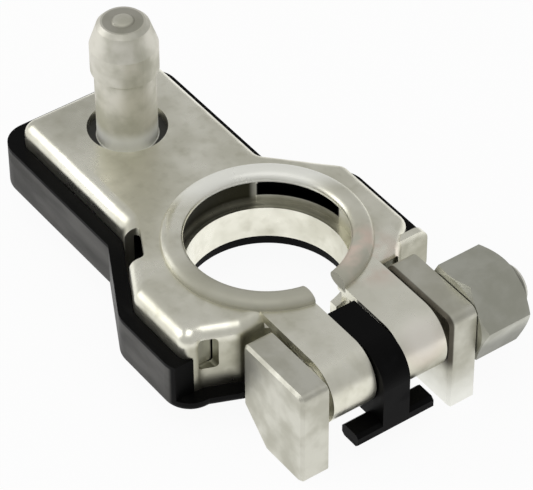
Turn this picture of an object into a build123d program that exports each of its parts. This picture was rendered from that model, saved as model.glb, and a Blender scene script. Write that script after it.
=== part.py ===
"""Battery terminal clamp: a folded plated terminal on a moulded carrier.

The frame: the origin is on the battery post's axis, at the lower face of the terminal's
sheet. +X runs to the pinch ears, +Y to the nut and +Z up. "Left" is -Y and "right" is +Y.
"""

from build123d import *
import os
from math import atan2, degrees

os.makedirs("parts", exist_ok=True)

# ------------------------------------------------------------------ driving dimensions, mm
# Stock and fits
sheet = 1.1                 # thickness of the folded terminal
fit_gap = 0.1               # carrier to terminal, all round
running_gap = 0.05          # radial clearance on the cross bolt

# Heights
bolt_r = 3.0                # M6 cross bolt
ear_r = bolt_r + running_gap + sheet        # outside radius of the folded ears
bolt_z = ear_r
deck_z = 2 * ear_r                          # top of the terminal
edge_round = 1.8            # bend at the deck's edge

# Plan of the terminal, as distances from the post's axis
tongue_back = 33.6
tongue_left = 11.4
tongue_right = 8.0
left_flare_start = 12.0
left_flare_end = 1.5
right_flare_start = 12.7
right_flare_end = 5.3
body_left = 17.0
body_right = 15.0
shoulder_x = 8.4            # front of the shoulders
shoulder_y = 14.8           # where each shoulder turns towards its ear
chamfer_x = 2.2             # right shoulder's cut corner
brow_x = 10.2               # front of the body beside the ears
brow_y = 10.6
plan_round = 1.6

# Post bore and its collars
post_r = 9.4
bead_width = 2.6            # rolled rim round the bore
bead_height = 1.7
bead_rise = 1.1             # how far it stands above the deck
collar_height = 4.3         # the lower collar's
back_wall_from = 150.0      # degrees from +X
back_wall_to = 237.0
right_wall_from = 16.0
right_wall_to = 94.0
sill_to = 151.0             # the opening between the two walls has a raised sill
sill_top = 5.5
plate_margin = 0.3          # lower plate outside those walls

# Ears
pinch_gap = 4.0
ear_out = 7.7               # outer side of each ear from the middle plane
bolt_x = 18.8
ear_edge = 0.3

# Small features of the terminal
notch_length = 5.0          # relief at the left flare
notch_depth = 1.8
notch_at = 8.4
window_width = 2.2          # opening in each shoulder
window_height = 4.2
window_inset = 1.7          # in from the shoulder's side
window_drop = 1.2           # below the deck
window_round = 0.5
tab_top = 0.9               # lug on the right shoulder: below the deck
tab_bottom = 1.0            # above the terminal's lower face
tab_out = 1.1               # beyond the body's right side
tab_in = 11.6
tab_thick = 0.9
tab_proud = 0.2             # ahead of the shoulder
tab_round = 1.5

# Connecting stud
stud_x = -25.2
stud_y = -1.8
stud_hole_r = 4.75
stud_shank_r = 3.6
stud_thread_r = 4.0
stud_thread_from = 8.8      # above the deck
stud_thread_to = 12.3
stud_tip_to = 15.5
stud_tip_r = 3.1
stud_tip_bevel = 0.5
stud_head = 11.0            # square head under the deck
stud_head_thick = 2.6
stud_head_round = 1.0

# Carrier
floor = 1.4                 # thickness, below the terminal
wall = 1.7                  # width of the ledge beside the terminal
ledge_drop = 3.3            # ledge below the deck
hem_round = 0.9
end_wall = 2.3              # the same behind the tongue
post_clear = 0.3            # carrier's hole outside the clamp bore
nose_gap = 4.4              # carrier's own split
block_clear = 0.4           # carrier behind the head and the thrust plate
seat_wall = 1.6             # box round the stud's head
guard_clear = 0.3           # ring wall outside the lower plate ...
guard_thick = 1.0
guard_drop = 0.15           # ... which stops short of the deck

# Spacer between the ears
fin_side_gap = 0.2
fin_drop = 0.2              # fin below the deck
fin_back_x = 13.8
fin_front = 5.2             # ahead of the bolt's axis
fin_round = 4.0
slot_gap = 0.15
foot_y = 5.2
foot_drop = 1.0             # below the carrier's underside
foot_height = 1.7
foot_depth = 2.9
foot_bevel = 0.4

# Cross bolt, thrust plate and nut
block_gap = 0.6             # head and plate from the ears when loose
head_thick = 3.55
block_back = 6.9            # behind the bolt's axis
block_front = 4.0           # ahead of it
head_top = 3.7              # above the bolt's axis
block_drop = 9.3            # below it
head_cut_x = 4.2
head_cut_z = 4.0
block_edge = 0.35
head_neck_r = 3.6
plate_thick = 3.55
plate_top = 3.9
plate_back = 7.8
plate_round = 1.2
plate_hole_gap = 0.1
nut_flats = 10.0
nut_height = 6.6
nut_gap = 0.1
nut_turn = -21.0            # rest angle of the hexagon
nut_bevel = 0.45
nut_bevel_in = 0.9          # radial run of the bevel at a corner
bolt_end_out = 2.0          # bolt beyond the nut
bolt_end_bevel = 0.7

# ------------------------------------------------------------------ derived values
def plan_points(back):
    """Corners of the plan of a terminal whose tongue ends this far behind the post's axis."""
    return [
        (-back, -tongue_left),
        (-left_flare_start, -tongue_left),
        (-left_flare_end, -body_left),
        (shoulder_x, -body_left),
        (shoulder_x, -shoulder_y),
        (brow_x, -brow_y),
        (brow_x, brow_y),
        (shoulder_x, shoulder_y - chamfer_x),
        (shoulder_x - chamfer_x, body_right),
        (-right_flare_end, body_right),
        (-right_flare_start, tongue_right),
        (-back, tongue_right),
    ]


flare_angle = degrees(atan2(tongue_left - body_left, left_flare_start - left_flare_end))
bead_r = post_r + bead_width / 2
wall_inner = post_r + sheet
wall_outer = wall_inner + sheet
lower_plate_r = wall_outer + plate_margin
ledge_z = deck_z - ledge_drop
block_inner_y = ear_out + block_gap
plate_outer_y = block_inner_y + plate_thick
nut_y = plate_outer_y + nut_gap
bolt_end_y = nut_y + nut_height + bolt_end_out
fin_half = pinch_gap / 2 - fin_side_gap
ear_width = ear_out - pinch_gap / 2
ear_middle = (ear_out + pinch_gap / 2) / 2
above = 2 * deck_z          # taller than anything a cut has to clear


def terminal_plan(height, grow=0.0, longer=0.0):
    """Plan of the terminal at a height, grown outwards by grow, with a longer tongue."""
    with BuildSketch(Plane.XY.offset(height)) as plan:
        with BuildLine():
            Polyline(*plan_points(tongue_back + longer), close=True)
        make_face()
        fillet(plan.vertices(), plan_round)
        if grow:
            offset(amount=grow, kind=Kind.ARC)
    return plan.sketch


def ring_sector(height, inner, outer, start, end):
    """Part of a ring round the post's axis, between two angles."""
    with BuildSketch(Plane.XY.offset(height)) as sector:
        with BuildLine():
            inside = CenterArc((0, 0), inner, start, end - start)
            outside = CenterArc((0, 0), outer, start, end - start)
            Line(inside @ 0, outside @ 0)
            Line(inside @ 1, outside @ 1)
        make_face()
    return sector.sketch


# ------------------------------------------------------------------ terminal body
# One sheet: deck with its turned-down skirt, ears folded round the bolt, lower plate.
with BuildPart() as terminal_body:
    extrude(terminal_plan(0), amount=deck_z)
    top_edges = terminal_body.faces().sort_by(Axis.Z)[-1].edges()
    fillet(top_edges, edge_round)
    extrude(terminal_plan(-1, grow=-sheet), amount=deck_z - sheet + 1, mode=Mode.SUBTRACT)

    # Ears: each is a U lying on its side, closed round the bolt.
    for side in (-1, 1):
        with BuildSketch(Plane.XZ.offset(-side * ear_middle)) as ear_section:
            with BuildLine():
                Line((shoulder_x, deck_z), (bolt_x, deck_z))
                CenterArc((bolt_x, bolt_z), ear_r, 90, -180)
                Polyline((bolt_x, 0), (shoulder_x, 0), (shoulder_x, deck_z))
            make_face()
        extrude(amount=ear_width / 2, both=True)
        with BuildSketch(Plane.XZ.offset(-side * ear_middle)) as ear_inside:
            with BuildLine():
                Line((0, deck_z - sheet), (bolt_x, deck_z - sheet))
                CenterArc((bolt_x, bolt_z), ear_r - sheet, 90, -180)
                Polyline((bolt_x, sheet), (0, sheet), (0, deck_z - sheet))
            make_face()
        extrude(amount=ear_width / 2, both=True, mode=Mode.SUBTRACT)

    # Lower plate round the bore, inside the skirt.
    with BuildSketch() as lower_plate:
        Circle(lower_plate_r)
    extrude(amount=sheet)
    with BuildSketch() as lower_hole:
        Circle(post_r)
    extrude(amount=sheet, mode=Mode.SUBTRACT)
    with BuildSketch(Plane.XY.offset(deck_z)) as deck_hole:
        Circle(bead_r)
    extrude(amount=-2 * sheet, mode=Mode.SUBTRACT)

    # Rolled rim of the bore. Its outer side meets the deck upright, so a lug can lie beside it.
    with BuildSketch(Plane.XZ) as bead_section:
        with Locations((bead_r, deck_z + bead_rise - bead_height / 2)):
            Ellipse(bead_width / 2, bead_height / 2)
            Rectangle(bead_width / 2, bead_height / 2, align=(Align.MIN, Align.MAX))
    revolve(axis=Axis.Z)

    # Lower collar and the walls that join it to the deck behind and right of the post.
    with BuildSketch() as collar:
        Circle(post_r + sheet)
        Circle(post_r, mode=Mode.SUBTRACT)
    extrude(amount=collar_height)
    wall_height = deck_z - sheet / 2
    for wall_from, wall_to, wall_top in (
        (back_wall_from, back_wall_to, wall_height),
        (right_wall_from, right_wall_to, wall_height),
        (right_wall_to - 1, sill_to, sill_top),
    ):
        extrude(ring_sector(0, wall_inner, wall_outer, wall_from, wall_to), amount=wall_top)

    # Split between the ears, through rim and collar.
    with BuildSketch(Plane.XY.offset(-1)) as split_gap:
        with Locations((bolt_x, 0)):
            Rectangle(2 * bolt_x, pinch_gap)
    extrude(amount=above, mode=Mode.SUBTRACT)

    # Hole for the stud.
    with Locations((stud_x, stud_y, deck_z)):
        Hole(stud_hole_r, depth=2 * sheet)

    # Relief notch where the left flare leaves the tongue.
    notch_y = -tongue_left - (left_flare_start - notch_at) * (body_left - tongue_left) / (
        left_flare_start - left_flare_end
    )
    notch_plane = Plane(origin=(-notch_at, notch_y, -1), z_dir=(0, 0, 1)).rotated((0, 0, flare_angle))
    with BuildSketch(notch_plane) as notch:
        with Locations((0, notch_depth - notch_length / 2)):
            RectangleRounded(notch_length, notch_length, 0.6)
    extrude(amount=above, mode=Mode.SUBTRACT)

    # Openings in the shoulders' front walls.
    left_window = -body_left + window_inset + window_width / 2
    right_window = shoulder_y - chamfer_x - window_inset - window_width / 2
    for window_middle in (left_window, right_window):
        with BuildSketch(Plane.YZ.offset(shoulder_x - 1.5 * sheet)) as window:
            with Locations((window_middle, deck_z - window_drop - window_height / 2)):
                RectangleRounded(window_width, window_height, window_round)
        extrude(amount=brow_x - shoulder_x + 2 * sheet, mode=Mode.SUBTRACT)

    # Upright lug on the front of the right shoulder.
    tab_face = shoulder_x + tab_proud
    tab_width = body_right + tab_out - tab_in
    tab_height = deck_z - tab_top - tab_bottom
    with BuildSketch(Plane.YZ.offset(tab_face)) as tab:
        with Locations((tab_in + tab_width / 2, tab_bottom + tab_height / 2)):
            Rectangle(tab_width, tab_height)
        fillet(tab.vertices().group_by(Axis.X)[-1], tab_round)
    extrude(amount=-tab_thick)

terminal_body.part.label = "terminal_body"
export_step(terminal_body.part, "parts/terminal_body.step")

# ------------------------------------------------------------------ carrier
with BuildPart() as carrier:
    outer_plan = terminal_plan(-floor, grow=fit_gap + wall, longer=end_wall - wall)
    extrude(outer_plan, amount=floor + ledge_z)
    bottom_edges = carrier.faces().sort_by(Axis.Z)[0].edges()
    fillet(bottom_edges, hem_round)
    extrude(terminal_plan(0, grow=fit_gap), amount=above, mode=Mode.SUBTRACT)

    # Ring wall round the collar, under the deck.
    guard_r = lower_plate_r + guard_clear
    with BuildSketch() as guard:
        Circle(guard_r + guard_thick)
        Circle(guard_r, mode=Mode.SUBTRACT)
        add(terminal_plan(0, grow=-sheet - fit_gap), mode=Mode.INTERSECT)
    extrude(amount=deck_z - sheet - guard_drop)

    # The walls stop at the shoulders: only the floor runs on under the ears.
    with BuildSketch() as open_front:
        with Locations((shoulder_x + tongue_back / 2 - guard_thick - sheet, 0)):
            Rectangle(tongue_back, 2 * (guard_r + guard_thick))
        with Locations((shoulder_x, 0)):
            Rectangle(tongue_back, 2 * body_left, align=(Align.MIN, Align.MAX))
        with Locations((tab_face - tab_thick - block_clear, 0)):
            Rectangle(tongue_back, 2 * body_left, align=(Align.MIN, Align.MIN))
    extrude(amount=above, mode=Mode.SUBTRACT)

    with BuildSketch(Plane.XY.offset(-floor)) as post_hole:
        Circle(post_r + post_clear)
        with Locations((bolt_x, 0)):
            Rectangle(2 * bolt_x, nose_gap)
    extrude(amount=above, mode=Mode.SUBTRACT)

    # Room for the blocks that hang beside the ears.
    for side, block_back_x in ((-1, bolt_x - block_back), (1, bolt_x - plate_back)):
        with BuildSketch(Plane.XY.offset(-floor)) as block_room:
            with Locations((block_back_x - block_clear, side * ear_out)):
                room_align = (Align.MIN, Align.MIN if side > 0 else Align.MAX)
                Rectangle(tongue_back, body_left, align=room_align)
        extrude(amount=above, mode=Mode.SUBTRACT)

    # Seat under and round the stud's square head.
    seat_side = stud_head + 2 * (seat_wall + fit_gap)
    seat_z = deck_z - sheet - stud_head_thick
    with BuildSketch() as seat:
        with Locations((stud_x, stud_y)):
            Rectangle(seat_side, seat_side)
    extrude(amount=deck_z - sheet - fit_gap)
    with BuildSketch(Plane.XY.offset(seat_z)) as pocket:
        with Locations((stud_x, stud_y)):
            Rectangle(stud_head + 2 * fit_gap, stud_head + 2 * fit_gap)
    extrude(amount=stud_head_thick + sheet, mode=Mode.SUBTRACT)

carrier.part.label = "carrier"
export_step(carrier.part, "parts/carrier.step")

# ------------------------------------------------------------------ stud
with BuildPart() as stud:
    with BuildSketch(Plane.XY.offset(seat_z)) as head_plan:
        with Locations((stud_x, stud_y)):
            RectangleRounded(stud_head, stud_head, stud_head_round)
    extrude(amount=stud_head_thick)
    thread_z = deck_z + stud_thread_from
    thread_top = deck_z + stud_thread_to
    tip_z = deck_z + stud_tip_to
    with BuildSketch(Plane.XZ.offset(-stud_y)) as shaft_section:
        with BuildLine():
            Polyline(
                (stud_x, seat_z + stud_head_thick / 2),
                (stud_x + stud_shank_r, seat_z + stud_head_thick / 2),
                (stud_x + stud_shank_r, thread_z - (stud_thread_r - stud_shank_r)),
                (stud_x + stud_thread_r, thread_z),
                (stud_x + stud_thread_r, thread_top),
                (stud_x + stud_tip_r, tip_z - stud_tip_bevel),
                (stud_x + stud_tip_r - stud_tip_bevel, tip_z),
                (stud_x, tip_z),
                close=True,
            )
        make_face()
    revolve(axis=Axis((stud_x, stud_y, 0), (0, 0, 1)))

stud.part.label = "stud"
export_step(stud.part, "parts/stud.step")

# ------------------------------------------------------------------ spacer
with BuildPart() as spacer:
    fin_front_x = bolt_x + fin_front
    fin_top = deck_z - fin_drop
    with BuildSketch(Plane.XZ) as fin_profile:
        with Locations((fin_back_x, -floor)):
            Rectangle(fin_front_x - fin_back_x, fin_top + floor, align=Align.MIN)
        top_front = fin_profile.vertices().group_by(Axis.Y)[-1].sort_by(Axis.X)[-1]
        fillet(top_front, fin_round)
    extrude(amount=fin_half, both=True)

    # Slot for the bolt, open to the back so that the spacer pulls off forwards.
    with BuildSketch(Plane.XZ) as bolt_slot:
        slot_r = bolt_r + slot_gap
        with Locations((bolt_x, bolt_z)):
            Circle(slot_r)
        with Locations((bolt_x / 2, bolt_z)):
            Rectangle(bolt_x, 2 * slot_r)
    extrude(amount=fin_half, both=True, mode=Mode.SUBTRACT)

    # Foot across the front, under the noses of the ears.
    foot_z = -floor - foot_drop
    with BuildSketch(Plane.XZ) as foot_profile:
        with BuildLine():
            Polyline(
                (fin_front_x - foot_depth, foot_z),
                (fin_front_x, foot_z),
                (fin_front_x, foot_z + foot_height),
                (fin_front_x - foot_depth, foot_z + foot_height),
                close=True,
            )
        make_face()
        chamfer(foot_profile.vertices(), foot_bevel)
    extrude(amount=foot_y, both=True)

spacer.part.label = "spacer"
export_step(spacer.part, "parts/spacer.step")

# ------------------------------------------------------------------ cross bolt
with BuildPart() as tee_bolt:
    with BuildSketch(Plane.XZ.offset(block_inner_y)) as head_profile:
        with BuildLine():
            Polyline(
                (bolt_x - block_back, bolt_z + head_top),
                (bolt_x + block_front, bolt_z + head_top),
                (bolt_x + block_front, bolt_z - block_drop),
                (bolt_x - block_back + head_cut_x, bolt_z - block_drop),
                (bolt_x - block_back, bolt_z - block_drop + head_cut_z),
                close=True,
            )
        make_face()
        fillet(head_profile.vertices(), 0.8)
    extrude(amount=head_thick)
    chamfer(tee_bolt.faces().sort_by(Axis.Y)[0].edges(), block_edge)
    with BuildSketch(Plane.XZ.offset(block_inner_y + head_thick / 2)) as shank_section:
        with Locations((bolt_x, bolt_z)):
            Circle(bolt_r)
    extrude(amount=-(block_inner_y + head_thick / 2 + bolt_end_y))
    bolt_end = tee_bolt.faces().sort_by(Axis.Y)[-1].edges()
    chamfer(bolt_end, bolt_end_bevel)

tee_bolt.part.label = "tee_bolt"
export_step(tee_bolt.part, "parts/tee_bolt.step")

# ------------------------------------------------------------------ thrust plate
with BuildPart() as thrust_plate:
    with BuildSketch(Plane.XZ.offset(-block_inner_y)) as plate_profile:
        with BuildLine():
            Polyline(
                (bolt_x - plate_back, bolt_z + plate_top),
                (bolt_x + block_front, bolt_z + plate_top),
                (bolt_x + block_front, bolt_z - block_drop),
                (bolt_x - plate_back + head_cut_x, bolt_z - block_drop),
                (bolt_x - plate_back, bolt_z - block_drop + head_cut_z),
                close=True,
            )
        make_face()
        back_top = plate_profile.vertices().group_by(Axis.Y)[-1]
        fillet(back_top, plate_round)
    extrude(amount=-plate_thick)
    chamfer(thrust_plate.faces().sort_by(Axis.Y)[0].edges(), block_edge)
    with BuildSketch(Plane.XZ.offset(-block_inner_y)) as plate_hole:
        with Locations((bolt_x, bolt_z)):
            Circle(bolt_r + plate_hole_gap)
    extrude(amount=-plate_thick, mode=Mode.SUBTRACT)

thrust_plate.part.label = "thrust_plate"
export_step(thrust_plate.part, "parts/thrust_plate.step")

# ------------------------------------------------------------------ nut
with BuildPart() as hex_nut:
    with BuildSketch(Plane.XZ.offset(-nut_y)) as nut_section:
        with Locations((bolt_x, bolt_z)):
            RegularPolygon(nut_flats / 2, 6, major_radius=False, rotation=30 + nut_turn)
    extrude(amount=-nut_height)

    # Both ends are turned to a cone, which rounds the hexagon's corners off.
    nut_corner = nut_flats / 3**0.5
    with BuildSketch(Plane.XY.offset(bolt_z)) as nut_envelope:
        with BuildLine():
            Polyline(
                (bolt_x, nut_y),
                (bolt_x + nut_corner - nut_bevel_in, nut_y),
                (bolt_x + nut_corner, nut_y + nut_bevel),
                (bolt_x + nut_corner, nut_y + nut_height - nut_bevel),
                (bolt_x + nut_corner - nut_bevel_in, nut_y + nut_height),
                (bolt_x, nut_y + nut_height),
                close=True,
            )
        make_face()
    revolve(axis=Axis((bolt_x, 0, bolt_z), (0, 1, 0)), mode=Mode.INTERSECT)
    with BuildSketch(Plane.XZ.offset(-nut_y)) as nut_bore:
        with Locations((bolt_x, bolt_z)):
            Circle(bolt_r + running_gap)
    extrude(amount=-nut_height, mode=Mode.SUBTRACT)

hex_nut.part.label = "hex_nut"
export_step(hex_nut.part, "parts/hex_nut.step")
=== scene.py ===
"""Battery terminal clamp: finishes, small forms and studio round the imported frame.

All lengths are in metres, in the frame's own axes: the origin is on the post's axis at the
lower face of the terminal's sheet, +X runs to the pinch ears, +Y to the nut and +Z up.
"""

import logging
import math
from dataclasses import dataclass, field
from enum import Enum
from typing import Any, Callable

import bmesh
import bpy
from mathutils import Matrix, Vector


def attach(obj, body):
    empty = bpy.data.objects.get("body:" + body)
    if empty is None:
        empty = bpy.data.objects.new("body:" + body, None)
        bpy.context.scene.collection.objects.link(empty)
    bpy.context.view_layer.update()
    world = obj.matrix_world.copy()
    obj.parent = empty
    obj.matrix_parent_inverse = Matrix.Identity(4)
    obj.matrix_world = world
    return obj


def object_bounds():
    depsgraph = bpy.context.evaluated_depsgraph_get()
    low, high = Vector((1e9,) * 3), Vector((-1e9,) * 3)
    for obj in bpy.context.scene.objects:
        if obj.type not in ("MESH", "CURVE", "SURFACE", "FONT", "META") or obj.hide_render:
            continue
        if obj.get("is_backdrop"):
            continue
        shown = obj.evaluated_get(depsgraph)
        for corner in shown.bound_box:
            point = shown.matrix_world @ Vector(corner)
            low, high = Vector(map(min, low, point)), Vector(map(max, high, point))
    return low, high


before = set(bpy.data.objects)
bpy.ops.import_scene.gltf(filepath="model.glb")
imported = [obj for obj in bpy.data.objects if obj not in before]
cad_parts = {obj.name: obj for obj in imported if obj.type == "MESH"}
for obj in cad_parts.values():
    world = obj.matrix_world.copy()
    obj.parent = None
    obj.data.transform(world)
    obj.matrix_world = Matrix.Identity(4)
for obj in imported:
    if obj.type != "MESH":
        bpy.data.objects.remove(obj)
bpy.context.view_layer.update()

log = logging.getLogger("terminal_clamp")

MM = 0.001
IMAGE_WIDTH = 533
SENSOR = 36.0

Colour = tuple[float, float, float]
Point = tuple[float, float, float]
# Where a mask is 0 and where it is 1.
Ends = tuple[float, float]

STUD_TIP: Point = (-25.2 * MM, -1.8 * MM, 23.8 * MM)
# A height below every piece, for a mark that a finish doesn't have.
NOWHERE = -1.0
# Corners closer than this are one corner.
WELD = 1e-7


# ---------------------------------------------------------------- shader expressions
class Socket:
    """A shader socket that adds Math nodes when it is used in an expression."""

    def __init__(self, graph: "Graph", output: bpy.types.NodeSocket) -> None:
        """Keep the graph and the output socket."""
        self.graph = graph
        self.output = output

    def _math(self, operation: str, *values: "Socket | float") -> "Socket":
        """Add one Math node.

        Args:
            operation: the Math node's operation.
            values: the operands in order.

        Returns:
            The node's result.
        """
        return self.graph.node("ShaderNodeMath", {"operation": operation}, dict(enumerate(values)))

    def __add__(self, other: "Socket | float") -> "Socket":
        """Sum."""
        return self._math("ADD", self, other)

    def __radd__(self, other: float) -> "Socket":
        """Sum with the number first."""
        return self._math("ADD", other, self)

    def __sub__(self, other: "Socket | float") -> "Socket":
        """Difference."""
        return self._math("SUBTRACT", self, other)

    def __rsub__(self, other: float) -> "Socket":
        """Difference with the number first."""
        return self._math("SUBTRACT", other, self)

    def __mul__(self, other: "Socket | float") -> "Socket":
        """Product."""
        return self._math("MULTIPLY", self, other)

    def __rmul__(self, other: float) -> "Socket":
        """Product with the number first."""
        return self._math("MULTIPLY", other, self)

    def __truediv__(self, other: "Socket | float") -> "Socket":
        """Quotient."""
        return self._math("DIVIDE", self, other)

    def __rtruediv__(self, other: float) -> "Socket":
        """Quotient with the number first."""
        return self._math("DIVIDE", other, self)

    def sine(self) -> "Socket":
        """Sine of the value."""
        return self._math("SINE", self)

    def at_most(self, other: "Socket | float") -> "Socket":
        """The smaller of the two values."""
        return self._math("MINIMUM", self, other)

    def at_least(self, other: "Socket | float") -> "Socket":
        """The larger of the two values."""
        return self._math("MAXIMUM", self, other)

    def ramp(self, low: float, high: float) -> "Socket":
        """Smooth step between two values.

        Args:
            low: where the result is 0.
            high: where the result is 1. It may be below low.

        Returns:
            A value from 0 to 1.
        """
        settings = {"interpolation_type": "SMOOTHSTEP"}
        ends = (low, high, 0.0, 1.0) if low < high else (high, low, 1.0, 0.0)
        return self.graph.node("ShaderNodeMapRange", settings, dict(enumerate((self, *ends))))


class Graph:
    """The node tree of one material or world."""

    # The Mix node's colour inputs and its colour output, by number.
    MIX_COLOURS = (6, 7)
    MIX_RESULT = 2

    def __init__(self, tree: bpy.types.NodeTree) -> None:
        """Empty the tree."""
        self.tree = tree
        tree.nodes.clear()

    def _feed(self, target: bpy.types.NodeSocket, value: Any) -> None:
        """Link a Socket to an input, or set the input's own value.

        Args:
            target: the input.
            value: the Socket or the value.
        """
        if isinstance(value, Socket):
            self.tree.links.new(value.output, target)
        else:
            target.default_value = value

    def node(
        self,
        kind: str,
        settings: dict[str, Any] | None = None,
        inputs: dict[Any, Any] | None = None,
        out: Any = 0,
    ) -> Socket:
        """Add a node.

        Args:
            kind: the node's type.
            settings: attributes of the node, set before its sockets.
            inputs: value or Socket for each input, by name or number.
            out: the output to return, by name or number.

        Returns:
            The chosen output.
        """
        made = self.tree.nodes.new(kind)
        for name, value in (settings or {}).items():
            setattr(made, name, value)
        for key, value in (inputs or {}).items():
            self._feed(made.inputs[key], value)
        return Socket(self, made.outputs[out])

    def show(self, kind: str, shader: Socket) -> None:
        """Add the tree's output node and feed it.

        Args:
            kind: the output node's type.
            shader: what it shows.
        """
        self._feed(self.tree.nodes.new(kind).inputs["Surface"], shader)

    def place(self) -> Socket:
        """Object coordinates."""
        return self.node("ShaderNodeTexCoord", out="Object")

    def axes(self, vector: Socket) -> tuple[Socket, Socket, Socket]:
        """Split a vector.

        Args:
            vector: the vector.

        Returns:
            Its x, y and z.
        """
        x, y, z = self.node("ShaderNodeSeparateXYZ", inputs={0: vector}).output.node.outputs
        return Socket(self, x), Socket(self, y), Socket(self, z)

    def noise(self, place: Socket, size: float, detail: float, stretch: Point) -> Socket:
        """Noise pattern.

        Args:
            place: where to read it.
            size: how large its blotches are, in metres.
            detail: how many finer layers it has.
            stretch: factor on each axis, over 1 for a finer pattern along it.

        Returns:
            A value round 0.5.
        """
        moved = self.node("ShaderNodeMapping", inputs={"Vector": place, "Scale": stretch})
        inputs = {"Vector": moved, "Scale": 1 / size, "Detail": detail}
        return self.node("ShaderNodeTexNoise", inputs=inputs)

    def blend(self, share: "Socket | float", first: Any, second: Any) -> Socket:
        """Mix two colours.

        Args:
            share: how much of the second colour.
            first: colour or Socket.
            second: colour or Socket.

        Returns:
            The mixed colour.
        """
        ends = [c if isinstance(c, Socket) else (*c, 1.0) for c in (first, second)]
        inputs = {0: share, **dict(zip(self.MIX_COLOURS, ends))}
        return self.node("ShaderNodeMix", {"data_type": "RGBA"}, inputs, self.MIX_RESULT)

    def bump(self, height: Socket, depth: float, under: Socket | None = None) -> Socket:
        """Bump from a height.

        Args:
            height: the height, round 0 to 1.
            depth: how far 1 stands above 0, in metres.
            under: a normal to add it to.

        Returns:
            The new normal.
        """
        inputs: dict[str, Any] = {"Height": height, "Distance": depth, "Strength": 1.0}
        if under is not None:
            inputs["Normal"] = under
        return self.node("ShaderNodeBump", inputs=inputs)


def surface(name: str, draw: Callable[[Graph], Socket]) -> bpy.types.Material:
    """Make a material.

    Args:
        name: the material's name.
        draw: a function that adds the nodes and returns the shader.

    Returns:
        The material.
    """
    made = bpy.data.materials.new(name)
    made.use_nodes = True
    graph = Graph(made.node_tree)
    graph.show("ShaderNodeOutputMaterial", draw(graph))
    return made


# ---------------------------------------------------------------- masks and textures
def band(value: Socket, low: float, high: float, soft: float) -> Socket:
    """Mask of a range.

    Args:
        value: the value to test.
        low: where the range starts.
        high: where it ends.
        soft: how far each end fades outwards.

    Returns:
        1 inside and 0 outside.
    """
    return value.ramp(low - soft, low) * (1 - value.ramp(high, high + soft))


def by_radius(square: Socket, ends: Ends, offset: float = 0.0) -> Socket:
    """Mask that follows a distance, given as its square.

    Args:
        square: the squared distance.
        ends: the distances where the mask is 0 and 1.
        offset: a length to add to both.

    Returns:
        A value from 0 to 1.
    """
    none, full = ends
    return square.ramp((none + offset) ** 2, (full + offset) ** 2)


@dataclass(frozen=True)
class Spot:
    """A soft ball-shaped place on a surface, and how strongly its middle shows."""

    middle: Point
    reach: float
    strength: float = 1.0
    core: float = 0.25

    def mask(self, graph: Graph, place: Socket) -> Socket:
        """Mask of the spot.

        Args:
            graph: the material's graph.
            place: the coordinates to measure from.

        Returns:
            The strength in the core and 0 past the reach.
        """
        settings = {"operation": "DISTANCE"}
        gap = graph.node("ShaderNodeVectorMath", settings, {0: place, 1: self.middle}, "Value")
        return gap.ramp(self.reach, self.reach * self.core) * self.strength


@dataclass(frozen=True)
class Mottle:
    """Blotches: noise of one size that is cut off at two levels."""

    size: float
    detail: float
    levels: Ends
    stretch: Point = (1, 1, 1)

    def mask(self, graph: Graph, place: Socket) -> Socket:
        """Mask of the blotches.

        Args:
            graph: the material's graph.
            place: the coordinates.

        Returns:
            A value from 0 to 1.
        """
        return graph.noise(place, self.size, self.detail, self.stretch).ramp(*self.levels)


@dataclass(frozen=True)
class Relief:
    """Unevenness of a surface: noise of one size that stands up by a depth."""

    size: float
    detail: float
    depth: float
    stretch: Point = (1, 1, 1)

    def height(self, graph: Graph, place: Socket) -> Socket:
        """Height of the relief, round 0.5.

        Args:
            graph: the material's graph.
            place: the coordinates.

        Returns:
            The height.
        """
        return graph.noise(place, self.size, self.detail, self.stretch)


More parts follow.
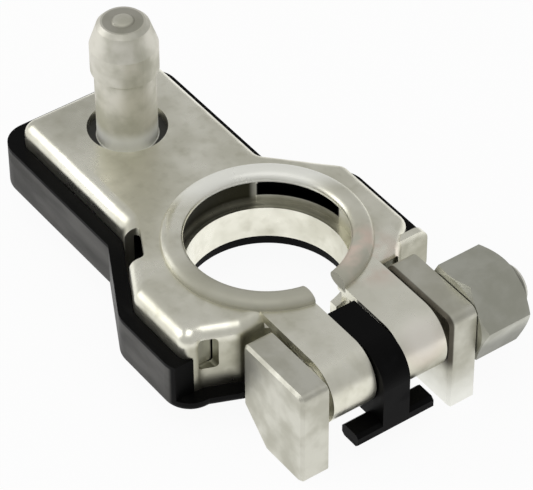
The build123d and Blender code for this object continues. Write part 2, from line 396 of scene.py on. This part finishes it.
# ---------------------------------------------------------------- finishes
@dataclass(frozen=True)
class PlatedSheet:
    """Tin plating on pressed sheet, dulled and blotched by handling, with painted highlights and
    painted shade.
    """

    bright: Colour = (0.93, 0.915, 0.80)
    dull: Colour = (0.66, 0.645, 0.53)
    # Painted shade on the shoulder fronts and under the ear's nose, and darker patches elsewhere.
    grime_and_shade: Colour = (0.36, 0.35, 0.27)
    # Painted highlight on the rim's back half and on the ear's nose.
    painted_highlight: Colour = (0.97, 0.97, 0.90)
    # Painted shade on the rim's front half.
    matt: Colour = (0.41, 0.40, 0.32)
    copper: Colour = (0.86, 0.68, 0.58)
    # Painted shade on the wall behind the bore.
    wall_shade: Colour = (0.017, 0.016, 0.009)
    # Painted shade: the sill's top in the dark slot is painted black.
    black: Colour = (0.003, 0.003, 0.003)

    roughness: float = 0.24
    stain_roughness: float = 0.14
    grain_roughness: float = 0.06
    rim_roughness: float = 0.2
    highlight_metal: float = 0.85
    rim_metal: float = 0.7

    blotch: Mottle = Mottle(size=7 * MM, detail=3.0, levels=(0.38, 0.66))
    speck: Mottle = Mottle(size=1.4 * MM, detail=2.0, levels=(0.45, 0.75))
    blotch_share: float = 0.7
    smear: Mottle = Mottle(size=2 * MM, detail=2.0, levels=(0.2, 0.7))
    smear_share: float = 0.3
    patch: Mottle = Mottle(size=2.5 * MM, detail=2.0, levels=(0.35, 0.7))
    wave: Relief = Relief(size=5.5 * MM, detail=1.0, depth=0.10 * MM)
    grain: Relief = Relief(
        size=0.35 * MM, detail=2.0, depth=0.004 * MM, stretch=(0.35, 1.0, 1.0)
    )

    # The sheet is cleaner where it is rubbed, copper shows where it is bare or worn, and the
    # ear's nose has a painted highlight.
    rubbed: Spot = Spot((18 * MM, 5.5 * MM, 8.1 * MM), reach=11 * MM, strength=0.6)
    bare: Spot = Spot((9.5 * MM, 7.5 * MM, 8.6 * MM), reach=6 * MM, strength=0.8)
    worn: Spot = Spot((22.5 * MM, 5 * MM, 6.5 * MM), reach=4 * MM, strength=0.42)
    nose_highlight: Spot = Spot((21.6 * MM, 5 * MM, 6.8 * MM), reach=3.6 * MM, strength=0.55)
    # Darker spots at the tongue's end, under the ear's nose, where it is painted shade, and on the
    # right shoulder's lug.
    darkened_spots: tuple[Spot, ...] = (
        Spot((-31 * MM, -4 * MM, 8.3 * MM), reach=11 * MM, strength=0.45),
        Spot((22.4 * MM, 5 * MM, 1.0 * MM), reach=6.0 * MM),
        Spot((8.4 * MM, 15.0 * MM, 4.5 * MM), reach=3.2 * MM, strength=0.7),
    )

    # The front ends of the shoulders, darkened with painted shade: forwards, sideways and down.
    shoulder_front: Ends = (7.7 * MM, 8.2 * MM)
    shoulder_side: Ends = (9.0 * MM, 10.5 * MM)
    shoulder_top: Ends = (7.4 * MM, 6.2 * MM)
    shoulder_shade: float = 0.85

    post_radius: float = 9.4 * MM
    collar_top: float = 4.3 * MM

    # The rolled rim. Inner and outer count from the post's radius, and rim_soft is in square
    # metres. Its back half gets a painted highlight and its front half painted shade, told apart
    # along rim_way, which points back.
    rim_under: float = 7.4 * MM
    rim_inner: float = -0.2 * MM
    rim_outer: float = 2.6 * MM
    rim_soft: float = 4e-6
    rim_lift: float = 0.5 * MM
    rim_way: tuple[float, float] = (-0.906, 0.423)
    rim_highlight: Ends = (5.0 * MM, 8.5 * MM)
    rim_shade: Ends = (0.0, -7 * MM)
    rim_shade_share: float = 0.85
    highlight_share: float = 0.95

    # The wall behind the bore, whose inner face gets painted shade. Near and far count from the
    # post's radius and foot_rise from the collar's top. Its side is told along X, and its end
    # towards the sill.
    wall_near: Ends = (0.3 * MM, 0.6 * MM)
    wall_far: Ends = (1.9 * MM, 1.5 * MM)
    wall_soft: float = 0.4 * MM
    wall_side: Ends = (0.0, -2 * MM)
    wall_end: Ends = (8.70 * MM, 9.15 * MM)
    wall_end_light: float = 0.25
    foot_rise: Ends = (-0.2 * MM, 1.0 * MM)
    foot_shade: float = 0.6

    # The sill in the wall, which lies along sill_way, and the dark slot over it, where the sill's
    # top is painted black as shade. slot_far counts from the post's radius, low from the sill's
    # top and high from the rim's underside.
    sill_top: float = 5.5 * MM
    sill_way: tuple[float, float] = (-0.53, 0.848)
    sill_reach: Ends = (9.10 * MM, 9.25 * MM)
    sill_shade: float = 0.6
    slot_far: Ends = (3.0 * MM, 2.4 * MM)
    slot_low: float = -0.1 * MM
    slot_high: float = -0.3 * MM
    slot_soft: float = 0.05 * MM

    def _towards_sill(self, x: Socket, y: Socket) -> Socket:
        """Distance from the post's axis towards the middle of the sill."""
        return x * self.sill_way[0] + y * self.sill_way[1]

    def _over_sill(self, x: Socket, y: Socket) -> Socket:
        """Mask of the stretch where the wall is only a sill, at any height."""
        return self._towards_sill(x, y).ramp(*self.sill_reach)

    def _wall_shade_mask(self, x: Socket, y: Socket, z: Socket) -> Socket:
        """Mask of the painted shade on the inner face of the wall behind the bore, between collar
        and rim.

        Args:
            x: distance along the frame's X axis.
            y: distance along the frame's Y axis.
            z: height.

        Returns:
            1 on the face, less at its foot, at its end and on the sill.
        """
        square = x * x + y * y
        depth = by_radius(square, self.wall_near, self.post_radius)
        depth = depth * by_radius(square, self.wall_far, self.post_radius)
        low, high = (self.collar_top + rise for rise in self.foot_rise)
        rise = z.ramp(low, high) * (1 - self.foot_shade) + self.foot_shade
        sill = self._over_sill(x, y)
        end = self._towards_sill(x, y).ramp(*self.wall_end) * (1 - sill)
        side = (x.ramp(*self.wall_side) * (1 - sill)).at_least(sill * self.sill_shade)
        height = band(z, self.collar_top, self.rim_under, self.wall_soft)
        return depth * height * rise * (1 - end * self.wall_end_light) * side

    def _slot_shade_mask(self, x: Socket, y: Socket, z: Socket) -> Socket:
        """Mask of the sill's upper face, which is painted black as shade in the dark under the
        deck.

        Args:
            x: distance along the frame's X axis.
            y: distance along the frame's Y axis.
            z: height.

        Returns:
            1 on the face and 0 elsewhere.
        """
        depth = by_radius(x * x + y * y, self.slot_far, self.post_radius)
        low, high = self.sill_top + self.slot_low, self.rim_under + self.slot_high
        return self._over_sill(x, y) * depth * band(z, low, high, self.slot_soft)

    def _rim(self, x: Socket, y: Socket, z: Socket) -> tuple[Socket, Socket]:
        """Masks of the rolled rim.

        Args:
            x: distance along the frame's X axis.
            y: distance along the frame's Y axis.
            z: height.

        Returns:
            The rim's back half, which gets a painted highlight, and its front half, which gets
            painted shade and a matt finish.
        """
        inner, outer = self.post_radius + self.rim_inner, self.post_radius + self.rim_outer
        ring = band(x * x + y * y, inner**2, outer**2, self.rim_soft)
        ring = ring * z.ramp(self.rim_under, self.rim_under + self.rim_lift)
        along = x * self.rim_way[0] + y * self.rim_way[1]
        return ring * along.ramp(*self.rim_highlight), ring * along.ramp(*self.rim_shade)

    def _grime_and_shade_mask(self, graph: Graph, place: Socket) -> Socket:
        """Mask of the darkened places: painted shade on the shoulders' front ends and under the
        ear's nose, and darker patches at the tongue's end and the lug.

        Args:
            graph: the material's graph.
            place: the coordinates.

        Returns:
            1 where the plating is darkest.
        """
        x, y, z = graph.axes(place)
        front = x.ramp(*self.shoulder_front) * by_radius(y * y, self.shoulder_side)
        worst = front * z.ramp(*self.shoulder_top) * self.shoulder_shade
        for spot in self.darkened_spots:
            worst = worst.at_least(spot.mask(graph, place))
        smear = self.smear.mask(graph, place)
        return worst * (smear * self.smear_share + (1 - self.smear_share))

    def draw(self, graph: Graph) -> Socket:
        """Add the nodes.

        Args:
            graph: the material's graph.

        Returns:
            The shader.
        """
        place = graph.place()
        x, y, z = graph.axes(place)
        speck = self.speck.mask(graph, place) * (1 - self.blotch_share)
        stain = self.blotch.mask(graph, place) * self.blotch_share + speck
        stain = stain * (1 - self.rubbed.mask(graph, place))
        back_rim, front_rim = self._rim(x, y, z)
        base = graph.blend(stain, self.bright, self.dull)
        # Painted shade on the shoulder fronts and under the ear's nose, and darker patches
        # elsewhere.
        base = graph.blend(self._grime_and_shade_mask(graph, place), base, self.grime_and_shade)
        # Painted shade on the rim's front half.
        base = graph.blend(front_rim * self.rim_shade_share, base, self.matt)
        bare = self.bare.mask(graph, place) * self.patch.mask(graph, place)
        base = graph.blend(bare.at_least(self.worn.mask(graph, place)), base, self.copper)
        # Painted highlight on the rim's back half and on the ear's nose.
        highlight = back_rim.at_least(self.nose_highlight.mask(graph, place))
        base = graph.blend(highlight * self.highlight_share, base, self.painted_highlight)
        # Painted shade on the wall behind the bore.
        base = graph.blend(self._wall_shade_mask(x, y, z), base, self.wall_shade)
        # Painted shade on the sill's top in the slot.
        base = graph.blend(self._slot_shade_mask(x, y, z), base, self.black)
        grain = self.grain.height(graph, place)
        normal = graph.bump(self.wave.height(graph, place), self.wave.depth)
        normal = graph.bump(grain, self.grain.depth, normal)
        rough = stain * self.stain_roughness + grain * self.grain_roughness
        return graph.node(
            "ShaderNodeBsdfPrincipled",
            inputs={
                "Base Color": base,
                "Metallic": 1 - (highlight * self.highlight_metal).at_least(front_rim * self.rim_metal),
                "Roughness": self.roughness + rough + front_rim * self.rim_roughness,
                "Normal": normal,
            },
        )


@dataclass(frozen=True)
class StudMarks:
    """What only the stud shows: painted light on its foot, painted shade in the gap beside it and
    a ring of painted shade on its tip.

    ring_rise counts from the tip. The gap shows only aside from the line across gap_way.
    ring_soft is in square metres.
    """

    tip: Point = STUD_TIP
    # Painted light: the foot is paler and less metallic.
    foot: Ends = (10.4 * MM, 8.6 * MM)
    foot_share: float = 0.9
    foot_metal: float = 0.75
    ring_rise: Ends = (-0.03 * MM, -0.01 * MM)
    ring_from: float = 1.25 * MM
    ring_to: float = 2.3 * MM
    ring_soft: float = 0.5e-6
    ring_share: float = 0.55
    # Painted shade on a ring of the tip.
    ring_shade: Colour = (0.30, 0.29, 0.24)
    gap_out: Ends = (3.65 * MM, 3.75 * MM)
    gap_rise: Ends = (8 * MM, 7.6 * MM)
    gap_way: tuple[float, float] = (0.58, 0.81)
    gap_aside: Ends = (2.4 * MM, 3.4 * MM)
    gap_share: float = 0.96
    # Painted shade in the gap beside the stud.
    gap_shade: Colour = (0.01, 0.01, 0.008)

    def paint(
        self, graph: Graph, place: Socket, base: Socket, lower_light_and_shade: Colour
    ) -> tuple[Socket, Socket]:
        """Add the marks.

        Args:
            graph: the material's graph.
            place: the coordinates.
            base: the colour so far.
            lower_light_and_shade: the foot's colour, painted light.

        Returns:
            The new colour, and how metallic it is.
        """
        x, y, z = graph.axes(place)
        x, y = x - self.tip[0], y - self.tip[1]
        square = x * x + y * y
        # Painted light on the foot, a ring of painted shade on the tip and painted shade in the
        # gap.
        foot = z.ramp(*self.foot)
        base = graph.blend(foot * self.foot_share, base, lower_light_and_shade)
        ring = z.ramp(*(self.tip[2] + rise for rise in self.ring_rise))
        ring = ring * band(square, self.ring_from**2, self.ring_to**2, self.ring_soft)
        base = graph.blend(ring * self.ring_share, base, self.ring_shade)
        aside = x * self.gap_way[0] + y * self.gap_way[1]
        gap = by_radius(square, self.gap_out) * z.ramp(*self.gap_rise)
        gap = gap * by_radius(aside * aside, self.gap_aside)
        return graph.blend(gap * self.gap_share, base, self.gap_shade), 1 - foot * self.foot_metal


@dataclass(frozen=True)
class PlatedSteel:
    """Zinc plating on cut and headed steel.

    lower_light_and_shade, painted light on some pieces and painted shade on others, fades in below
    lower_light_and_shade_from, a shade_line over 0 draws a line of painted shade across at that
    place on Y, and a pitch over 0 cuts a fine thread along Y, with painted shade in its roots.
    """

    bright: Colour = (0.60, 0.59, 0.52)
    dull: Colour = (0.44, 0.435, 0.37)
    # Painted light towards the bottom: paler on the stud's foot and the block, darker on the nut.
    lower_light_and_shade: Colour = (0.90, 0.90, 0.84)
    lower_light_and_shade_from: float = NOWHERE
    lower_light_and_shade_depth: float = 6 * MM
    roughness: float = 0.40
    blotch_roughness: float = 0.12
    blotch: Mottle = Mottle(size=3.5 * MM, detail=3.0, levels=(0.35, 0.68))
    wave: Relief = Relief(size=2.5 * MM, detail=1.0, depth=0.05 * MM)
    grain: Relief = Relief(size=0.5 * MM, detail=3.0, depth=0.010 * MM)
    # A line of painted shade across the piece.
    shade_line: float = 0.0
    shade_line_half: float = 0.30 * MM
    shade_line_soft: float = 0.25 * MM
    shade_line_rise: Ends = (0.0, 2 * MM)
    shade_line_share: float = 0.9
    shade: Colour = (0.06, 0.05, 0.035)
    pitch: float = 0.0
    thread_from: Ends = (15.1 * MM, 15.3 * MM)
    thread_depth: float = 0.35 * MM
    thread_share: float = 0.7
    # Painted shade in the thread's roots.
    root_shade: Colour = (0.10, 0.10, 0.08)
    marks: StudMarks | None = None

    def draw(self, graph: Graph) -> Socket:
        """Add the nodes.

        Args:
            graph: the material's graph.

        Returns:
            The shader.
        """
        place = graph.place()
        _, y, z = graph.axes(place)
        blotch = self.blotch.mask(graph, place)
        base = graph.blend(blotch, self.bright, self.dull)
        # Painted light or shade fades in towards the bottom of the piece.
        low = z.ramp(self.lower_light_and_shade_from, self.lower_light_and_shade_from - self.lower_light_and_shade_depth)
        base = graph.blend(low, base, self.lower_light_and_shade)
        metal: Socket | float = 1.0
        # A line of painted shade across the piece.
        if self.shade_line:
            line = band(y, self.shade_line - self.shade_line_half, self.shade_line + self.shade_line_half, self.shade_line_soft)
            line = line * z.ramp(*self.shade_line_rise)
            base = graph.blend(line * self.shade_line_share, base, self.shade)
        if self.marks is not None:
            base, metal = self.marks.paint(graph, place, base, self.lower_light_and_shade)
        normal = graph.bump(self.wave.height(graph, place), self.wave.depth)
        normal = graph.bump(self.grain.height(graph, place), self.grain.depth, normal)
        if self.pitch:
            ridge = (y * (2 * math.pi / self.pitch)).sine() * 0.5 + 0.5
            cut = (1 - ridge) * y.ramp(*self.thread_from)
            normal = graph.bump(1 - cut, self.thread_depth, normal)
            # Painted shade in the thread's roots.
            base = graph.blend(cut * self.thread_share, base, self.root_shade)
        return graph.node(
            "ShaderNodeBsdfPrincipled",
            inputs={
                "Base Color": base,
                "Metallic": metal,
                "Roughness": self.roughness + blotch * self.blotch_roughness,
                "Normal": normal,
            },
        )


@dataclass(frozen=True)
class BlackMoulding:
    """Black moulded plastic with a fine grain.

    Its outer walls, below wall_top, behind wall_front and outside wall_out from the post's
    axis, get a painted grey sheen.
    """

    black: Colour = (0.0025, 0.0025, 0.0025)
    scuffed: Colour = (0.030, 0.030, 0.029)
    # Painted grey sheen on the outer walls.
    rubbed: Colour = (0.150, 0.147, 0.140)
    roughness: float = 0.46
    scuff_roughness: float = 0.2
    gloss: float = 0.06
    wall_top: float = NOWHERE
    wall_soft: float = 0.3 * MM
    wall_front: Ends = (8.0 * MM, 7.4 * MM)
    wall_out: Ends = (11 * MM, 11.8 * MM)
    scuff: Mottle = Mottle(size=4 * MM, detail=3.0, levels=(0.56, 0.74), stretch=(0.4, 1.0, 1.6))
    scuff_share: float = 0.25
    worn: Mottle = Mottle(size=6 * MM, detail=3.0, levels=(0.3, 0.7), stretch=(0.5, 0.5, 1.5))
    worn_share: float = 0.5
    wave: Relief = Relief(size=3 * MM, detail=1.0, depth=0.05 * MM)
    grain: Relief = Relief(size=0.25 * MM, detail=2.0, depth=0.006 * MM)

    def draw(self, graph: Graph) -> Socket:
        """Add the nodes.

        Args:
            graph: the material's graph.

        Returns:
            The shader.
        """
        place = graph.place()
        x, y, z = graph.axes(place)
        wall_sheen = z.ramp(self.wall_top, self.wall_top - self.wall_soft)
        wall_sheen = wall_sheen * x.ramp(*self.wall_front) * by_radius(x * x + y * y, self.wall_out)
        worn = self.worn.mask(graph, place) * self.worn_share + (1 - self.worn_share)
        scuff = self.scuff.mask(graph, place)
        base = graph.blend(scuff * self.scuff_share, self.black, self.scuffed)
        # Painted grey sheen on the outer walls.
        base = graph.blend(wall_sheen * worn, base, self.rubbed)
        normal = graph.bump(self.wave.height(graph, place), self.wave.depth)
        normal = graph.bump(self.grain.height(graph, place), self.grain.depth, normal)
        return graph.node(
            "ShaderNodeBsdfPrincipled",
            inputs={
                "Base Color": base,
                "Roughness": self.roughness + scuff * self.scuff_roughness,
                "Specular IOR Level": self.gloss,
                "Normal": normal,
            },
        )


class Finish(Enum):
    """The finishes that the pieces take."""

    SHEET = "plated_sheet"
    STUD = "stud_steel"
    BLOCK = "block_steel"
    BOLT = "bolt_steel"
    NUT = "nut_steel"
    TRAY = "tray_plastic"
    FIN = "fin_plastic"


class Paints:
    """Makes each finish once and hands it out."""

    def __init__(self) -> None:
        """Make the materials."""
        looks = {
            Finish.SHEET: PlatedSheet(),
            Finish.STUD: PlatedSteel(
                bright=(0.76, 0.74, 0.66),
                dull=(0.60, 0.59, 0.50),
                roughness=0.48,
                # Painted light on the foot and painted shade in the gap and on the tip.
                marks=StudMarks(),
            ),
            Finish.BLOCK: PlatedSteel(
                bright=(0.62, 0.61, 0.53),
                dull=(0.52, 0.51, 0.43),
                # Painted reflection of the floor: the block pales towards its bottom.
                lower_light_and_shade_from=1 * MM,
                # A line of painted shade across the block.
                shade_line=8.3 * MM,
            ),
            Finish.BOLT: PlatedSteel(
                bright=(0.68, 0.67, 0.59), dull=(0.54, 0.53, 0.45), pitch=1 * MM
            ),
            Finish.NUT: PlatedSteel(
                bright=(0.55, 0.55, 0.48),
                dull=(0.46, 0.46, 0.39),
                # Painted shade: the nut's lower facets are darker.
                lower_light_and_shade=(0.25, 0.25, 0.21),
                lower_light_and_shade_from=4.5 * MM,
                lower_light_and_shade_depth=3 * MM,
                roughness=0.36,
            ),
            # Painted grey sheen on the tray's outer walls.
            Finish.TRAY: BlackMoulding(wall_top=4.7 * MM),
            Finish.FIN: BlackMoulding(scuffed=(0.012, 0.012, 0.013)),
        }
        self.made = {
            kind: surface(kind.value + "_look", look.draw) for kind, look in looks.items()
        }

    def put(self, piece: bpy.types.Object, kind: Finish) -> None:
        """Give a piece its finish.

        Args:
            piece: the object.
            kind: the finish.
        """
        piece.data.materials.clear()
        piece.data.materials.append(self.made[kind])


# ---------------------------------------------------------------- pieces
@dataclass
class CarriedNodes:
    """The CAD nodes whose own shape shows, each with its finish."""

    finishes: dict[str, Finish] = field(
        default_factory=lambda: {
            "terminal_body": Finish.SHEET,
            "carrier": Finish.TRAY,
            "spacer": Finish.FIN,
            "stud": Finish.STUD,
            "tee_bolt": Finish.BOLT,
            "thrust_plate": Finish.BLOCK,
            "hex_nut": Finish.NUT,
        }
    )

    def build(self, paints: Paints) -> None:
        """Dress the nodes.

        Args:
            paints: the finishes.
        """
        for name, kind in self.finishes.items():
            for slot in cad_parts[name].material_slots:
                slot.material = paints.made[kind]
            log.info("dressed %s with %s", name, kind.value)


def finished(name: str, shape: bmesh.types.BMesh, body: str) -> bpy.types.Object:
    """Weld a mesh, turn it into an object that rides a body, and free the mesh.

    Args:
        name: the object's name.
        shape: its mesh, in the frame's place.
        body: the body that it moves with.

    Returns:
        The object.
    """
    bmesh.ops.remove_doubles(shape, verts=shape.verts, dist=WELD)
    bmesh.ops.recalc_face_normals(shape, faces=shape.faces)
    mesh = bpy.data.meshes.new(name)
    shape.to_mesh(mesh)
    shape.free()
    piece = bpy.data.objects.new(name, mesh)
    bpy.context.collection.objects.link(piece)
    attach(piece, body)
    log.info("built %s", name)
    return piece


@dataclass
class StudCentre:
    """The small turned boss in the middle of the stud's tip.

    section runs from the middle of its top to its rim, as shares of the radius and the rise.
    """

    tip: Point = STUD_TIP
    radius: float = 1.35 * MM
    rise: float = 0.25 * MM
    sink: float = 0.10 * MM
    section: tuple[tuple[float, float], ...] = ((0.0, 1.0), (0.55, 0.92), (0.85, 0.55), (1.0, 0.0))
    steps: int = 48

    def build(self, paints: Paints) -> None:
        """Spin the boss's section round the stud's axis.

        Args:
            paints: the finishes.
        """
        shape = bmesh.new()
        x, y, top = self.tip
        outline = [(self.radius * out, self.rise * up) for out, up in self.section]
        outline.append((self.radius, -self.sink))
        points = [shape.verts.new((x + out, y, top + up)) for out, up in outline]
        edges = [shape.edges.new(pair) for pair in zip(points, points[1:])]
        bmesh.ops.spin(
            shape,
            geom=points + edges,
            cent=self.tip,
            axis=(0, 0, 1),
            angle=2 * math.pi,
            steps=self.steps,
            use_merge=True,
        )
        for face in shape.faces:
            face.smooth = True
        paints.put(finished("stud_centre", shape, "terminal"), Finish.STUD)


@dataclass
class WindowLinings:
    """The folded-in sheet that shows through each shoulder's opening."""

    left: Point = (7.50 * MM, -14.2 * MM, 5.0 * MM)
    right: Point = (9.30 * MM, 9.8 * MM, 5.0 * MM)
    thick: float = 0.4 * MM
    width: float = 2.16 * MM
    height: float = 4.16 * MM
    edge: float = 0.10 * MM
    edge_steps: int = 2

    def build(self, paints: Paints) -> None:
        """Stand a small bevelled sheet behind each opening.

        Args:
            paints: the finishes.
        """
        for side, middle in {"left": self.left, "right": self.right}.items():
            shape = bmesh.new()
            bmesh.ops.create_cube(shape, size=1.0)
            bmesh.ops.scale(shape, verts=shape.verts, vec=(self.thick, self.width, self.height))
            bmesh.ops.bevel(
                shape,
                geom=shape.edges[:],
                offset=self.edge,
                offset_type="OFFSET",
                segments=self.edge_steps,
                profile=0.5,
                affect="EDGES",
                material=-1,
            )
            bmesh.ops.translate(shape, verts=shape.verts, vec=middle)
            paints.put(finished(f"{side}_window_lining", shape, "terminal"), Finish.NUT)


# ---------------------------------------------------------------- studio
@dataclass(frozen=True)
class Lamp:
    """A square lamp that faces the origin: its middle, its side and its power in watts."""

    name: str
    place: Point
    size: float
    power: float

    def hang(self) -> None:
        """Add the lamp to the scene."""
        data = bpy.data.lights.new(self.name, "AREA")
        data.size = self.size
        data.energy = self.power
        lamp = bpy.data.objects.new(self.name, data)
        lamp.location = self.place
        lamp.rotation_euler = (-Vector(self.place)).to_track_quat("-Z", "Y").to_euler()
        bpy.context.collection.objects.link(lamp)


@dataclass
class Studio:
    """Floor, lamps, world and camera."""

    azimuth: float = 54.39
    elevation: float = 42.32
    roll: float = -0.36
    aim: Vector = field(default_factory=lambda: Vector((0.45, -0.40, 7.64)) * MM)
    distance: float = 361.9 * MM
    focal_px: float = 3239.0
    floor_size: float = 6.0
    floor_grey: float = 0.9
    floor_glow: float = 0.94
    sky: float = 0.50
    lamps: tuple[Lamp, ...] = (
        Lamp("key", place=(0.10, -0.12, 0.60), size=0.45, power=0.7),
        Lamp("side", place=(-0.42, -0.46, 0.26), size=0.45, power=0.9),
    )

    def _camera(self) -> None:
        """Place the camera and make it the scene's own."""
        azimuth, elevation = math.radians(self.azimuth), math.radians(self.elevation)
        flat = math.cos(elevation)
        back = Vector((math.sin(azimuth) * flat, -math.cos(azimuth) * flat, math.sin(elevation)))
        right = Vector((math.cos(azimuth), math.sin(azimuth), 0))
        turn = Matrix((right, back.cross(right), back)).transposed().to_4x4()
        data = bpy.data.cameras.new("camera")
        data.sensor_fit = "HORIZONTAL"
        data.sensor_width = SENSOR
        data.lens = self.focal_px / IMAGE_WIDTH * SENSOR
        camera = bpy.data.objects.new("camera", data)
        roll = Matrix.Rotation(math.radians(self.roll), 4, "Z")
        camera.matrix_world = Matrix.Translation(self.aim + back * self.distance) @ turn @ roll
        bpy.context.collection.objects.link(camera)
        bpy.context.scene.camera = camera

    def _floor(self, height: float) -> None:
        """Lay the floor.

        Args:
            height: its level.
        """
        mesh = bpy.data.meshes.new("floor")
        shape = bmesh.new()
        bmesh.ops.create_grid(shape, x_segments=1, y_segments=1, size=self.floor_size / 2)
        bmesh.ops.translate(shape, verts=shape.verts, vec=(0, 0, height))
        shape.to_mesh(mesh)
        shape.free()
        floor = bpy.data.objects.new("floor", mesh)
        bpy.context.collection.objects.link(floor)
        mesh.materials.append(surface("floor_white", self._floor_look))
        floor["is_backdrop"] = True

    def _floor_look(self, graph: Graph) -> Socket:
        """White floor that keeps the shadow and shows white in reflections.

        Args:
            graph: the material's graph.

        Returns:
            The shader.
        """
        seen = graph.node("ShaderNodeLightPath", out="Is Camera Ray")
        mirrored = graph.node("ShaderNodeLightPath", out="Is Glossy Ray")
        through = graph.node("ShaderNodeLightPath", out="Is Transmission Ray")
        grey = (self.floor_grey, self.floor_grey, self.floor_grey, 1)
        matt = graph.node("ShaderNodeBsdfDiffuse", inputs={"Color": grey})
        nose_highlight = graph.node("ShaderNodeEmission", inputs={"Color": (1, 1, 1, 1), "Strength": 1.0})
        share = (seen * self.floor_glow + mirrored + through).at_most(1.0)
        return graph.node("ShaderNodeMixShader", inputs={0: share, 1: matt, 2: nose_highlight})

    def _world(self) -> None:
        """Plain grey surroundings."""
        world = bpy.data.worlds.new("room")
        world.use_nodes = True
        graph = Graph(world.node_tree)
        inputs = {"Color": (self.sky, self.sky, self.sky, 1), "Strength": 1.0}
        graph.show("ShaderNodeOutputWorld", graph.node("ShaderNodeBackground", inputs=inputs))
        bpy.context.scene.world = world

    def build(self) -> None:
        """Set up the studio."""
        self._camera()
        self._floor(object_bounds()[0].z)
        self._world()
        for lamp in self.lamps:
            lamp.hang()
        bpy.context.scene.view_settings.view_transform = "Standard"
        log.info("studio ready")


def main() -> None:
    """Dress the frame, add the pieces and set up the studio."""
    logging.basicConfig(level=logging.INFO, format="%(name)s: %(message)s")
    paints = Paints()
    CarriedNodes().build(paints)
    StudCentre().build(paints)
    WindowLinings().build(paints)
    Studio().build()


if __name__ == "__main__":
    main()
